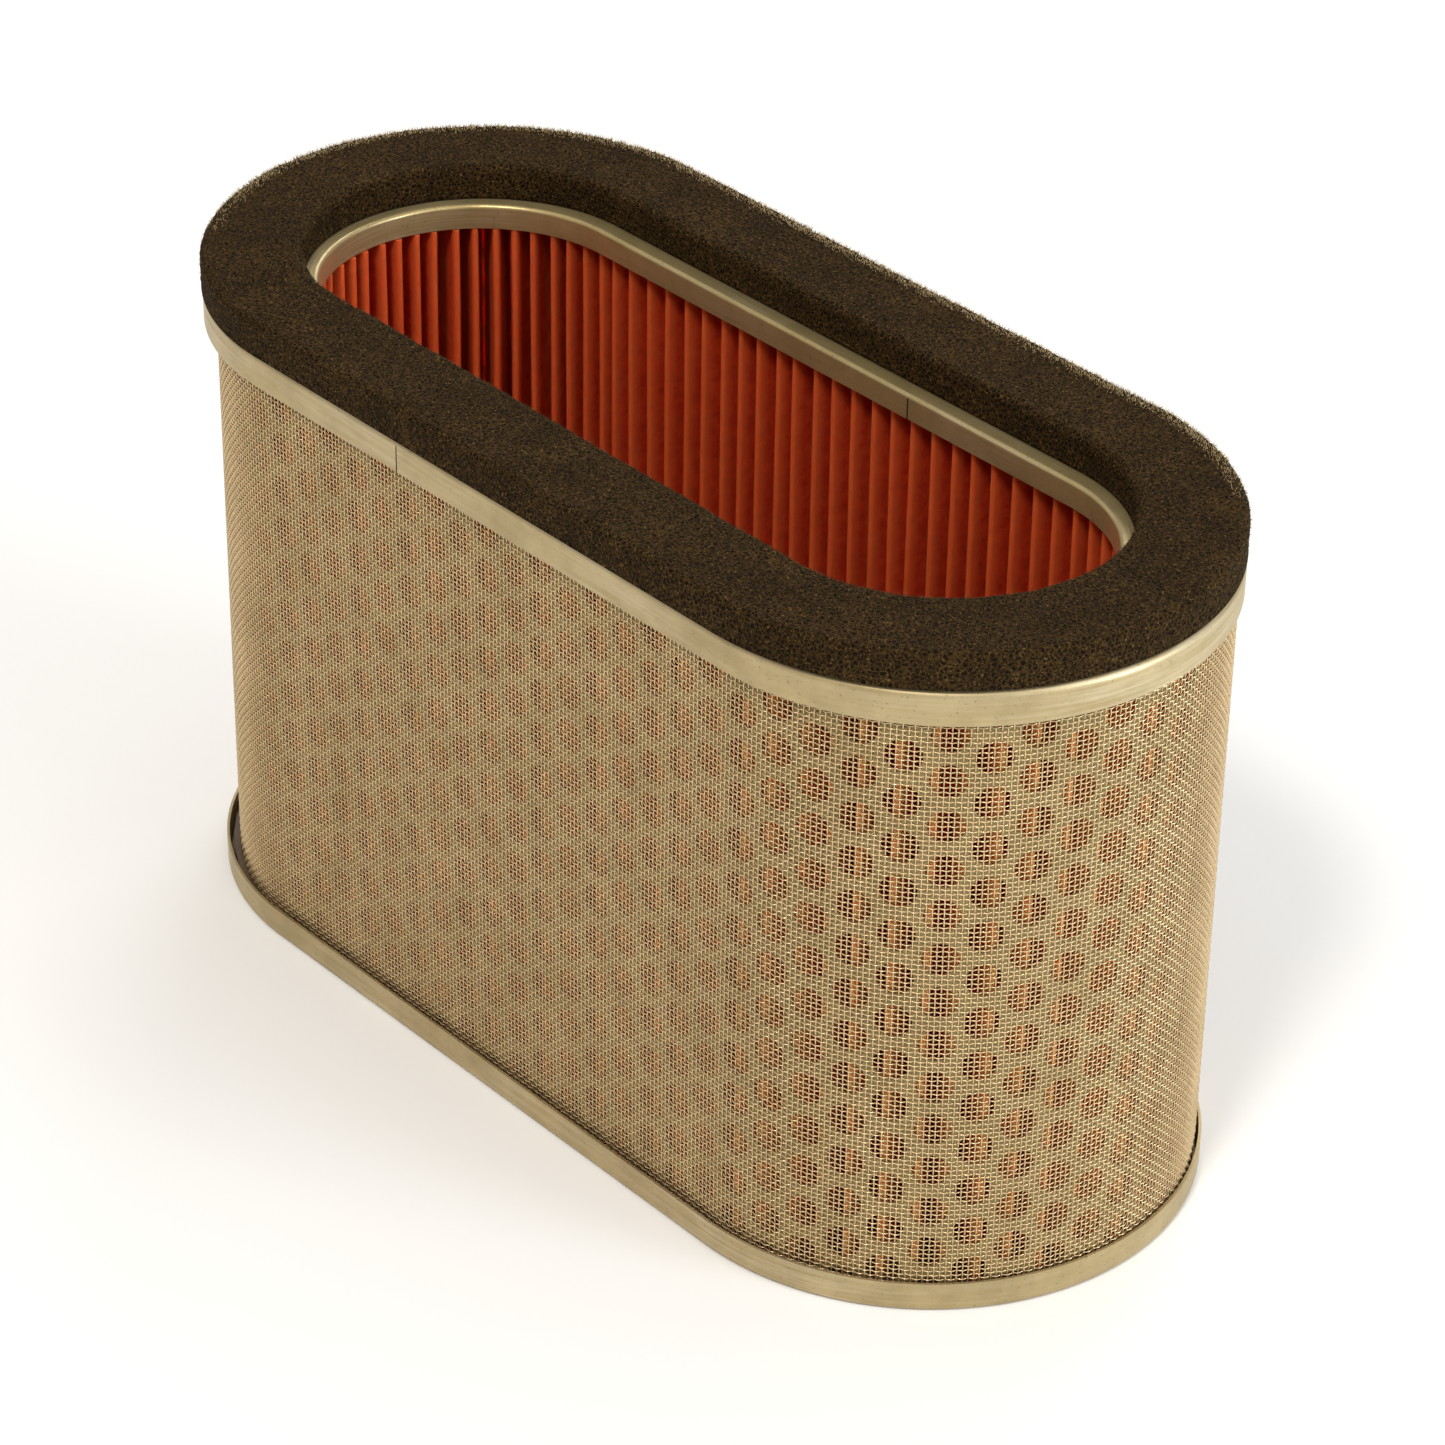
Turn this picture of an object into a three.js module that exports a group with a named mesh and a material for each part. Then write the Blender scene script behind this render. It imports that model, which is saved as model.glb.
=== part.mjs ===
// Air filter element for a motorcycle: an obround drum of pleated paper inside a perforated steel
// shell and a woven wire screen, closed by a steel cap at the bottom and by a ring-shaped cap with a
// foam gasket at the top.
//
// Millimetres, +Z up. The origin is under the middle of the base, and X runs along the long side.
// Every ring follows one outline, two straight sides joined by two half circles, so a ring is given
// by the half length of its straights and by a section drawn as [radius, height] points.

import * as THREE from 'three';

// ---- driving dimensions -------------------------------------------------------------------------

const SHEET = 0.5; // thickness of the cap sheet steel
const ARC_STEPS = 24; // facets in each half circle
const FIT_GAP = 0.2; // clearance drawn between pieces that touch
const SEAM_GAP = 0.4; // opening left where the two ends of a band meet

// bottom cap
const BASE_HALF_STRAIGHT = 61.7; // half of each straight side
const BASE_RADIUS = 50.6; // outside of the bottom band
const BASE_BAND_TOP = 5.8;
const BASE_BEND = 1; // outside radius of the bend between the band and its flange
const BASE_FLANGE = 4; // the flange turned in under the plate's edge
const BASE_SEAM_X = -20; // butt seam of the bottom band, on the rear side

// top cap
const CAP_HALF_STRAIGHT = 62.3; // half of each straight side
const CAP_RADIUS = 50; // outside of the outer band
const COLLAR_RADIUS = 28.9; // air passage, inside of the inner band
const PLATE_TOP = 123.9; // upper face of the top plate
const OUTER_BAND_BOTTOM = 117.6;
const INNER_BAND_BOTTOM = 119.1;
const OUTER_SEAM_X = -22; // butt seam of the outer band, on the front side
const INNER_SEAM_X = 22; // butt seam of the inner band, on the rear side
const CAP_BEND = 1.4; // outside radius of the bend at the top of the skirt
const COLLAR_BEND = 0.8; // and at the top of the collar
const OUTER_FLANGE = 3;
const INNER_FLANGE = 4.6;

// foam gasket
const FOAM_HALF_STRAIGHT = 61.3; // half of each straight side
const FOAM_OUTER_RADIUS = 50.8;
const FOAM_INNER_RADIUS = 32.2;
const FOAM_TOP = 131;
const FOAM_ROUNDING = 1.6;
const ADHESIVE_FILM = 0.3;

// drum of paper, shell and screen, potted a little off centre in the caps
const DRUM_HALF_STRAIGHT = 61.3;
const DRUM_SHIFT_X = 1.2;
const DRUM_BOTTOM = 3.9;
const SCREEN_RADIUS = 49; // outside of the wire screen
const SCREEN_THICKNESS = 0.6; // two crossing wires
const SHELL_RADIUS = 48.2; // outside of the perforated shell
const SHELL_THICKNESS = 0.5;
const DRUM_SEAM_X = 34; // joint of the shell and of the screen, on the rear side
const DRUM_SEAM_GAP = 1.2;

// pleated paper
const PLEAT_OUTER_RADIUS = 47.3;
const PLEAT_INNER_RADIUS = 30.3;
const PLEATS_PER_SIDE = 24;
const PLEATS_PER_END = 26;
const PAPER = 0.5;
const FOLD_HALF_WIDTH = 0.45; // half of the flat crown of each fold
const FOLD_DEPTH = 1; // radial thickness of the paper at a fold

// clip over the two ends of the paper, on the front side
const CLIP_PLEAT = 6; // counted from the left end of the front side
const CLIP_DEPTH = 3;
const CLIP_SHEET = 0.4;

const STEEL = { color: 0xb9ab88, roughness: 0.42, metalness: 0.9 };
const WIRE = { color: 0xa89a74, roughness: 0.5, metalness: 0.85 };
const PAPER_RED = { color: 0x96301a, roughness: 0.9, metalness: 0 };
const FOAM_BROWN = { color: 0x3b2f22, roughness: 1, metalness: 0 };
const COMPOUND = { color: 0x4a3420, roughness: 0.7, metalness: 0 };

// ---- worked out from them -----------------------------------------------------------------------

const FRONT = -Math.PI / 2; // direction of the radius on the front side (-Y)
const REAR = Math.PI / 2;
const CAP_INSIDE = CAP_RADIUS - SHEET - FIT_GAP;
const COLLAR_OUTSIDE = COLLAR_RADIUS + SHEET + FIT_GAP;
const CAP_UNDERSIDE = PLATE_TOP - CAP_BEND - FIT_GAP;
const DRUM_TOP = INNER_BAND_BOTTOM - FIT_GAP;
const FOAM_BOTTOM = PLATE_TOP + ADHESIVE_FILM;

// ---- outline and sweep --------------------------------------------------------------------------

// A station on the outline is the centre that its radius is measured from, and the radius's angle.
function halfCircle(centreX, startAngle) {
  const stations = [];
  for (let i = 0; i <= ARC_STEPS; i += 1) {
    stations.push({ centreX, angle: startAngle + (Math.PI * i) / ARC_STEPS });
  }
  return stations;
}

// The whole outline, anticlockwise from the right-hand end of the front side.
function closedOutline(halfStraight, shiftX = 0) {
  return [
    ...halfCircle(shiftX + halfStraight, FRONT),
    ...halfCircle(shiftX - halfStraight, REAR),
  ];
}

// The same outline, anticlockwise, cut open at seamX on the front side or on the rear side.
function seamedOutline(halfStraight, seamX, gap, side, shiftX = 0) {
  const rightEnd = halfCircle(shiftX + halfStraight, FRONT);
  const leftEnd = halfCircle(shiftX - halfStraight, REAR);
  const ends = side === FRONT ? [...rightEnd, ...leftEnd] : [...leftEnd, ...rightEnd];
  const forward = side === FRONT ? gap / 2 : -gap / 2;
  return [
    { centreX: seamX + forward, angle: side },
    ...ends,
    { centreX: seamX - forward, angle: side },
  ];
}

// A short straight stretch of the rear side, as wide as what fills a seam there.
function rearStretch(centreX, width) {
  return [
    { centreX: centreX + width / 2, angle: REAR },
    { centreX: centreX - width / 2, angle: REAR },
  ];
}

function outlinePoint({ centreX, angle }, radius, height) {
  return [centreX + radius * Math.cos(angle), radius * Math.sin(angle), height];
}

// Triangles that close one cut end of a swept section.
function endCap(profile, firstIndex, facesForward) {
  const contour = profile.map(([radius, height]) => new THREE.Vector2(radius, height));
  const indices = [];
  for (const [a, b, c] of THREE.ShapeUtils.triangulateShape(contour, [])) {
    const anticlockwise = !THREE.ShapeUtils.isClockWise([contour[a], contour[b], contour[c]]);
    const [second, third] = anticlockwise === facesForward ? [c, b] : [b, c];
    indices.push(firstIndex + a, firstIndex + second, firstIndex + third);
  }
  return indices;
}

// Sweeps a section of [radius, height] points, listed anticlockwise, along an outline.
function sweep(profile, stations, { closed }) {
  const count = profile.length;
  const positions = stations.flatMap((station) =>
    profile.flatMap(([radius, height]) => outlinePoint(station, radius, height)));
  const indices = [];
  const spans = closed ? stations.length : stations.length - 1;
  for (let j = 0; j < spans; j += 1) {
    const here = j * count;
    const next = ((j + 1) % stations.length) * count;
    for (let i = 0; i < count; i += 1) {
      const k = (i + 1) % count;
      indices.push(here + i, next + i, here + k);
      indices.push(here + k, next + i, next + k);
    }
  }
  if (!closed) {
    indices.push(...endCap(profile, 0, false));
    indices.push(...endCap(profile, (stations.length - 1) * count, true));
  }
  const geometry = new THREE.BufferGeometry();
  geometry.setAttribute('position', new THREE.Float32BufferAttribute(positions, 3));
  geometry.setIndex(indices);
  geometry.computeVertexNormals();
  return geometry;
}

// ---- sections -----------------------------------------------------------------------------------

function rectangle(innerRadius, outerRadius, bottom, top) {
  return [[innerRadius, bottom], [outerRadius, bottom], [outerRadius, top], [innerRadius, top]];
}

// Points of a quarter circle in the section. The angles are in degrees.
function quarter(radius, height, size, startAngle, endAngle) {
  const steps = 4;
  const points = [];
  for (let i = 0; i <= steps; i += 1) {
    const angle = THREE.MathUtils.degToRad(startAngle + ((endAngle - startAngle) * i) / steps);
    points.push([radius + size * Math.cos(angle), height + size * Math.sin(angle)]);
  }
  return points;
}

// ---- pieces -------------------------------------------------------------------------------------

function piece(name, geometry, finish) {
  const mesh = new THREE.Mesh(geometry, new THREE.MeshStandardMaterial(finish));
  mesh.name = name;
  return mesh;
}

function upright(shape, bottom, top) {
  const geometry = new THREE.ExtrudeGeometry(shape, { depth: top - bottom, bevelEnabled: false });
  return geometry.translate(0, 0, bottom);
}

function bottomPlate() {
  const radius = BASE_RADIUS - BASE_FLANGE - FIT_GAP;
  const outline = closedOutline(BASE_HALF_STRAIGHT).map((station) =>
    new THREE.Vector2(...outlinePoint(station, radius, 0)));
  return piece('bottom_plate', upright(new THREE.Shape(outline), 0, SHEET), STEEL);
}

// A strip bent to an angle: its flange lies level with the plate, its other leg stands around it.
function bottomBand() {
  const bendRadius = BASE_RADIUS - BASE_BEND;
  const flangeEnd = BASE_RADIUS - BASE_FLANGE;
  const profile = [
    [flangeEnd, 0],
    ...quarter(bendRadius, BASE_BEND, BASE_BEND, -90, 0),
    [BASE_RADIUS, BASE_BAND_TOP],
    [BASE_RADIUS - SHEET, BASE_BAND_TOP],
    ...quarter(bendRadius, BASE_BEND, BASE_BEND - SHEET, 0, -90),
    [flangeEnd, SHEET],
  ];
  const outline = seamedOutline(BASE_HALF_STRAIGHT, BASE_SEAM_X, SEAM_GAP, REAR);
  return piece('bottom_band', sweep(profile, outline, { closed: false }), STEEL);
}

function bottomPotting() {
  const outer = BASE_RADIUS - BASE_BEND - FIT_GAP;
  const profile = rectangle(COLLAR_RADIUS, outer, SHEET + FIT_GAP, DRUM_BOTTOM - FIT_GAP);
  const geometry = sweep(profile, closedOutline(BASE_HALF_STRAIGHT), { closed: true });
  return piece('bottom_potting', geometry, COMPOUND);
}

function perforatedShell() {
  const inner = SHELL_RADIUS - SHELL_THICKNESS;
  const profile = rectangle(inner, SHELL_RADIUS, DRUM_BOTTOM, DRUM_TOP);
  const outline = seamedOutline(
    DRUM_HALF_STRAIGHT, DRUM_SEAM_X, DRUM_SEAM_GAP, REAR, DRUM_SHIFT_X);
  return piece('perforated_shell', sweep(profile, outline, { closed: false }), STEEL);
}

function wireScreen() {
  const inner = SCREEN_RADIUS - SCREEN_THICKNESS;
  const profile = rectangle(inner, SCREEN_RADIUS, DRUM_BOTTOM, DRUM_TOP);
  const outline = seamedOutline(
    DRUM_HALF_STRAIGHT, DRUM_SEAM_X, DRUM_SEAM_GAP, REAR, DRUM_SHIFT_X);
  return piece('wire_screen', sweep(profile, outline, { closed: false }), WIRE);
}

// A full-height bead that closes the joint of the shell or of the screen.
function seamBead(name, radius, thickness) {
  const profile = rectangle(radius - thickness, radius, DRUM_BOTTOM, DRUM_TOP);
  const stretch = rearStretch(DRUM_SEAM_X, DRUM_SEAM_GAP - 2 * FIT_GAP);
  return piece(name, sweep(profile, stretch, { closed: false }), STEEL);
}

// Where a pleat stands on the drum. Whole numbers are inner folds, and outer folds are halfway
// between them; the count runs anticlockwise from the left-hand end of the front side.
function pleatStation(pleat) {
  const lap = PLEATS_PER_SIDE + PLEATS_PER_END;
  const half = Math.floor(pleat / lap) % 2; // 0 on the front side and right end, 1 on the rest
  const along = pleat % lap;
  const direction = half === 0 ? 1 : -1;
  const straight = Math.min(along / PLEATS_PER_SIDE, 1);
  const turned = Math.max((along - PLEATS_PER_SIDE) / PLEATS_PER_END, 0);
  return {
    centreX: DRUM_SHIFT_X + direction * DRUM_HALF_STRAIGHT * (2 * straight - 1),
    angle: (half === 0 ? FRONT : REAR) + Math.PI * turned,
  };
}

// A point of the paper: radius, and sideways distance from the station in the direction of count.
function paperPoint(pleat, radius, sideways) {
  const station = pleatStation(pleat);
  const [x, y] = outlinePoint(station, radius, 0);
  return new THREE.Vector2(
    x - sideways * Math.sin(station.angle),
    y + sideways * Math.cos(station.angle));
}

// One long strip folded to and fro around the drum. Its ends lie side by side under the clip.
function pleatedMedia() {
  const pleats = 2 * (PLEATS_PER_SIDE + PLEATS_PER_END);
  const clipEnd = PLEAT_INNER_RADIUS + CLIP_DEPTH + 1;
  const outside = [
    paperPoint(CLIP_PLEAT, PLEAT_INNER_RADIUS, SEAM_GAP / 2),
    paperPoint(CLIP_PLEAT, clipEnd, SEAM_GAP / 2),
  ];
  const inside = [
    paperPoint(CLIP_PLEAT, PLEAT_INNER_RADIUS, SEAM_GAP / 2 + PAPER),
    paperPoint(CLIP_PLEAT, clipEnd, SEAM_GAP / 2 + PAPER),
  ];
  for (let i = 0; i < pleats; i += 1) {
    const outerFold = CLIP_PLEAT + i + 0.5;
    outside.push(paperPoint(outerFold, PLEAT_OUTER_RADIUS, -FOLD_HALF_WIDTH));
    outside.push(paperPoint(outerFold, PLEAT_OUTER_RADIUS, FOLD_HALF_WIDTH));
    inside.push(paperPoint(outerFold, PLEAT_OUTER_RADIUS - FOLD_DEPTH, 0));
    if (i < pleats - 1) {
      const innerFold = outerFold + 0.5;
      outside.push(paperPoint(innerFold, PLEAT_INNER_RADIUS + FOLD_DEPTH, 0));
      inside.push(paperPoint(innerFold, PLEAT_INNER_RADIUS, -FOLD_HALF_WIDTH));
      inside.push(paperPoint(innerFold, PLEAT_INNER_RADIUS, FOLD_HALF_WIDTH));
    }
  }
  outside.push(paperPoint(CLIP_PLEAT, clipEnd, -SEAM_GAP / 2));
  outside.push(paperPoint(CLIP_PLEAT, PLEAT_INNER_RADIUS, -SEAM_GAP / 2));
  inside.push(paperPoint(CLIP_PLEAT, clipEnd, -SEAM_GAP / 2 - PAPER));
  inside.push(paperPoint(CLIP_PLEAT, PLEAT_INNER_RADIUS, -SEAM_GAP / 2 - PAPER));
  const shape = new THREE.Shape([...outside, ...inside.reverse()]);
  return piece('pleated_media', upright(shape, DRUM_BOTTOM, DRUM_TOP), PAPER_RED);
}

// A folded strip, U-shaped in plan, over the two ends of the paper.
function mediaSeamClip() {
  const legInside = SEAM_GAP / 2 + PAPER + FIT_GAP / 2;
  const legOutside = legInside + CLIP_SHEET;
  const crownOutside = PLEAT_INNER_RADIUS - FIT_GAP - CLIP_SHEET;
  const crownInside = PLEAT_INNER_RADIUS - FIT_GAP;
  const legEnd = PLEAT_INNER_RADIUS + CLIP_DEPTH;
  const shape = new THREE.Shape([
    paperPoint(CLIP_PLEAT, crownOutside, -legOutside),
    paperPoint(CLIP_PLEAT, legEnd, -legOutside),
    paperPoint(CLIP_PLEAT, legEnd, -legInside),
    paperPoint(CLIP_PLEAT, crownInside, -legInside),
    paperPoint(CLIP_PLEAT, crownInside, legInside),
    paperPoint(CLIP_PLEAT, legEnd, legInside),
    paperPoint(CLIP_PLEAT, legEnd, legOutside),
    paperPoint(CLIP_PLEAT, crownOutside, legOutside),
  ]);
  return piece('media_seam_clip', upright(shape, DRUM_BOTTOM, DRUM_TOP), STEEL);
}

function topPotting() {
  const profile = rectangle(COLLAR_OUTSIDE, CAP_INSIDE, INNER_BAND_BOTTOM, CAP_UNDERSIDE);
  const geometry = sweep(profile, closedOutline(CAP_HALF_STRAIGHT), { closed: true });
  return piece('top_potting', geometry, COMPOUND);
}

function topPlate() {
  const inner = COLLAR_RADIUS + INNER_FLANGE + FIT_GAP;
  const outer = CAP_RADIUS - OUTER_FLANGE - FIT_GAP;
  const profile = rectangle(inner, outer, PLATE_TOP - SHEET, PLATE_TOP);
  const geometry = sweep(profile, closedOutline(CAP_HALF_STRAIGHT), { closed: true });
  return piece('top_plate', geometry, STEEL);
}

// The strip around the outside of the top cap: an upright leg below a flange that is turned inwards.
function topOuterBand() {
  const bendRadius = CAP_RADIUS - CAP_BEND;
  const bendHeight = PLATE_TOP - CAP_BEND;
  const flangeEnd = CAP_RADIUS - OUTER_FLANGE;
  const profile = [
    [CAP_RADIUS - SHEET, OUTER_BAND_BOTTOM],
    [CAP_RADIUS, OUTER_BAND_BOTTOM],
    ...quarter(bendRadius, bendHeight, CAP_BEND, 0, 90),
    [flangeEnd, PLATE_TOP],
    [flangeEnd, PLATE_TOP - SHEET],
    ...quarter(bendRadius, bendHeight, CAP_BEND - SHEET, 90, 0),
  ];
  const outline = seamedOutline(CAP_HALF_STRAIGHT, OUTER_SEAM_X, SEAM_GAP, FRONT);
  return piece('top_outer_band', sweep(profile, outline, { closed: false }), STEEL);
}

// The collar of the air passage: an upright leg below a flange that is turned outwards.
function topInnerBand() {
  const bendRadius = COLLAR_RADIUS + COLLAR_BEND;
  const bendHeight = PLATE_TOP - COLLAR_BEND;
  const flangeEnd = COLLAR_RADIUS + INNER_FLANGE;
  const profile = [
    [COLLAR_RADIUS, INNER_BAND_BOTTOM],
    [COLLAR_RADIUS + SHEET, INNER_BAND_BOTTOM],
    ...quarter(bendRadius, bendHeight, COLLAR_BEND - SHEET, 180, 90),
    [flangeEnd, PLATE_TOP - SHEET],
    [flangeEnd, PLATE_TOP],
    ...quarter(bendRadius, bendHeight, COLLAR_BEND, 90, 180),
  ];
  const outline = seamedOutline(CAP_HALF_STRAIGHT, INNER_SEAM_X, SEAM_GAP, REAR);
  return piece('top_inner_band', sweep(profile, outline, { closed: false }), STEEL);
}

function gasketAdhesive() {
  const margin = 1; // the film stops short of the foam's edges
  const profile = rectangle(
    FOAM_INNER_RADIUS + margin, CAP_INSIDE - margin,
    PLATE_TOP + FIT_GAP / 4, FOAM_BOTTOM - FIT_GAP / 4);
  const geometry = sweep(profile, closedOutline(FOAM_HALF_STRAIGHT), { closed: true });
  return piece('gasket_adhesive', geometry, COMPOUND);
}

function foamGasket() {
  const outerCentre = FOAM_OUTER_RADIUS - FOAM_ROUNDING;
  const innerCentre = FOAM_INNER_RADIUS + FOAM_ROUNDING;
  const roundHeight = FOAM_TOP - FOAM_ROUNDING;
  const profile = [
    [FOAM_INNER_RADIUS, FOAM_BOTTOM],
    [FOAM_OUTER_RADIUS, FOAM_BOTTOM],
    ...quarter(outerCentre, roundHeight, FOAM_ROUNDING, 0, 90),
    ...quarter(innerCentre, roundHeight, FOAM_ROUNDING, 90, 180),
  ];
  const geometry = sweep(profile, closedOutline(FOAM_HALF_STRAIGHT), { closed: true });
  return piece('foam_gasket', geometry, FOAM_BROWN);
}

const airFilter = new THREE.Group();
airFilter.add(
  bottomPlate(),
  bottomBand(),
  bottomPotting(),
  pleatedMedia(),
  mediaSeamClip(),
  perforatedShell(),
  seamBead('shell_seam_weld', SHELL_RADIUS, SHELL_THICKNESS),
  wireScreen(),
  seamBead('screen_seam_solder', SCREEN_RADIUS, SCREEN_THICKNESS),
  topPotting(),
  topPlate(),
  topOuterBand(),
  topInnerBand(),
  gasketAdhesive(),
  foamGasket(),
);

export default airFilter;
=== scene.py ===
# Air filter element: foam ring, steel caps, woven wire screen, perforated shell and pleated paper.
# Everything is in metres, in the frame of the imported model.

import math

import bpy
import numpy as np
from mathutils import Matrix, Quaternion, Vector


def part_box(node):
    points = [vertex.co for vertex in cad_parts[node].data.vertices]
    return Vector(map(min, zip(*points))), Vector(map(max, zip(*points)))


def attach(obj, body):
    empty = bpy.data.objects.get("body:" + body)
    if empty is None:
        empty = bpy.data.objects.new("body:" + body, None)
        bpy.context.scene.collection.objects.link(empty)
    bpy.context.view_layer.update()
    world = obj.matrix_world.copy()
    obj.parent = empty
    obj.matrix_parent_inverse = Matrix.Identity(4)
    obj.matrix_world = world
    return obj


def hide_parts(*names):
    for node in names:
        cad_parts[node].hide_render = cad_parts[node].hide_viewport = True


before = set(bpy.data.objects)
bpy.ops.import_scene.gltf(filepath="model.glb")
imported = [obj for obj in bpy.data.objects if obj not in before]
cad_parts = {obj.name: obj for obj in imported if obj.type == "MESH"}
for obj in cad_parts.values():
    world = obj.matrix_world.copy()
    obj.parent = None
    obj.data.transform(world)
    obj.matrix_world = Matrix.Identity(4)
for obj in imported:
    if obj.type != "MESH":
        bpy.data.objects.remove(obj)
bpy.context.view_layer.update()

MM = 0.001

# ---- driving sizes --------------------------------------------------------------------------------

SHEET = 0.5 * MM  # cap sheet steel
SEAM_OPENING = 0.2 * MM  # what shows between the two ends of a band
SEAM_SHADE_WIDTH = 0.15 * MM  # width of the painted shade along the edges of a seam
OUTER_SEAM_X = -22 * MM  # front side
COLLAR_SEAM_X = 22 * MM  # rear side
BASE_SEAM_X = -20 * MM  # rear side
DRUM_SEAM_X = 34 * MM  # rear side, shell and screen
BAND_STEP = 1.5 * MM  # between sections along the skirt and the rim
COLLAR_STEP = 1.2 * MM
BEAD_STEP = 0.7 * MM  # between sections up the weld and the solder
BEAD_SIDES = 12

TOP_BEND = 1.4 * MM  # outside radius of the skirt's bend
COLLAR_BEND = 0.8 * MM
TOP_OUTER_FLANGE = 3 * MM
TOP_INNER_FLANGE = 4.6 * MM
BASE_BEND = 1 * MM
BASE_FLANGE = 4 * MM

WIRE = 0.3 * MM
WARP_CRIMP = 0.11 * MM  # how far an upright wire swings out and in
WEFT_CRIMP = 0.19 * MM  # and a level one
WARP_PITCH = 0.99 * MM  # between upright wires
WEFT_PITCH = 0.93 * MM  # between level wires
SCREEN_GAP = 1.2 * MM  # opening of the screen and of the shell at their seam
WEFT_GROUPS = 8  # meshes that the level wires are joined into

SHELL_SHEET = 0.5 * MM
HOLE = 6.3 * MM
COLUMN_PITCH = 7.3 * MM
ROW_PITCH = 8.62 * MM
HOLE_COLUMN = 100.4 * MM  # place along the shell of one column of holes
HOLE_ROW = 84.68 * MM  # height of one hole in that column
HOLES_BELOW, HOLES_ABOVE = 11, 5  # rows of holes under and over that one
SAME_POINT = 0.001 * MM  # corners of the flat shell that are this close are one point
SLIVER = 0.001 * MM * MM  # area of a face that is too small to keep

PLEATS_PER_SIDE = 24
PLEATS_PER_END = 26
PLEAT_DEPTH = 17 * MM
PAPER = 0.5 * MM
PAPER_LEVELS = 25  # heights at which the paper's path is worked out
CLIPPED_TAIL = 4 * MM  # length of the paper's two ends that lie in the clip
INNER_FOLD, OUTER_FOLD = 0.32 * MM, 0.5 * MM  # radius of the middle of the paper
CLIP_PLEAT = 6  # where the two ends of the paper meet
OUTER_SHORT, INNER_SHORT = 0.3 * MM, 0.5 * MM  # the most that a fold stops short of its line
FOLD_DRIFT = 0.35 * MM  # how far folds wander sideways
FLANK_BOW = 0.25 * MM  # and how far the flats between them bow

FOAM_WIDTH = 18.6 * MM
FOAM_ROUNDING = 1.6 * MM
FOAM_GRAIN = 0.5 * MM  # grid of the foam's surface
FOAM_PORE = 0.075 * MM  # how far the surface typically goes in and out at its open cells
FOAM_WAVE = 0.06 * MM  # and in its slow waves
FOAM_TRIM = 0.1 * MM  # how far inside the CAD surface it lies on average
CUT_CELLS = 15000  # struts that stand out of the foam's edges
CUT_DEPTH = 0.35 * MM  # and how deep in the foam they start
NAP_TRIES = 14000  # struts of the pale nap, of which the ones on its own side are kept
NAP_DEPTH = 0.3 * MM
NAP_FACES = 137  # degrees from +X to the middle of the pale nap on the foam's edge
ASKEW = (0.31, 0.53, 0.79)  # a direction that hardly any strut has, to square their sections with


# ---- outline --------------------------------------------------------------------------------------


class Track:
    """An obround line that a ring follows. Places along it are distances at the given radius,
    anticlockwise from the middle of the front side."""

    def __init__(self, node, inset=0.0):
        low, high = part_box(node)
        outside = (high.y - low.y) / 2
        self.outside = outside
        self.bottom, self.top = low.z, high.z
        self.half = (high.x - low.x) / 2 - outside
        self.shift = (high.x + low.x) / 2
        self.radius = outside - inset
        end = math.pi * self.radius
        self.length = 4 * self.half + 2 * end
        self.knots = np.cumsum([0, 2 * self.half, end, 2 * self.half, end])

    def centre_and_angle(self, along, knots):
        """For places round the outline, the X of the point on its axis that they lie out from, and
        the direction outwards. The knots are where its straight sides and round ends begin."""
        h = self.half
        centre = self.shift + np.interp(along, knots, [-h, h, h, -h, -h])
        angle = np.interp(along, knots, np.array([-0.5, -0.5, 0.5, 0.5, 1.5]) * math.pi)
        return centre, angle

    def place(self, s, radius, height):
        """Points at a distance along the line, a radius and a height."""
        along = np.mod(s + self.half, self.length)
        centre, angle = self.centre_and_angle(along, self.knots)
        x = centre + radius * np.cos(angle)
        y = radius * np.sin(angle)
        return np.stack(np.broadcast_arrays(x, y, height), -1)

    def front(self, x):
        """The place on the front side with this X."""
        return x - self.shift

    def rear(self, x):
        """The place on the rear side with this X."""
        return self.length / 2 - (x - self.shift)

    def span(self, seam, gap, step):
        """Evenly spaced places from one side of a seam round to the other."""
        count = round((self.length - gap) / step) + 1
        return np.linspace(seam + gap / 2, seam + self.length - gap / 2, count)

    def lipped_span(self, seam, gap, step):
        """The same, with one more place close to each end."""
        places = self.span(seam, gap, step)
        return np.insert(places, [1, -1], [places[0] + SEAM_SHADE_WIDTH, places[-1] - SEAM_SHADE_WIDTH])


# ---- meshes ---------------------------------------------------------------------------------------


def grid_faces(rows, columns, wrap_rows=False, wrap_columns=False):
    """Four-sided faces between the points of a grid that is numbered row by row."""
    row = np.arange(rows if wrap_rows else rows - 1)[:, None]
    column = np.arange(columns if wrap_columns else columns - 1)[None, :]
    next_row = (row + 1) % rows * columns
    next_column = (column + 1) % columns
    row = row * columns
    corners = (row + column, next_row + column, next_row + next_column, row + next_column)
    return np.stack(corners, -1).reshape(-1, 4)


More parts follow.
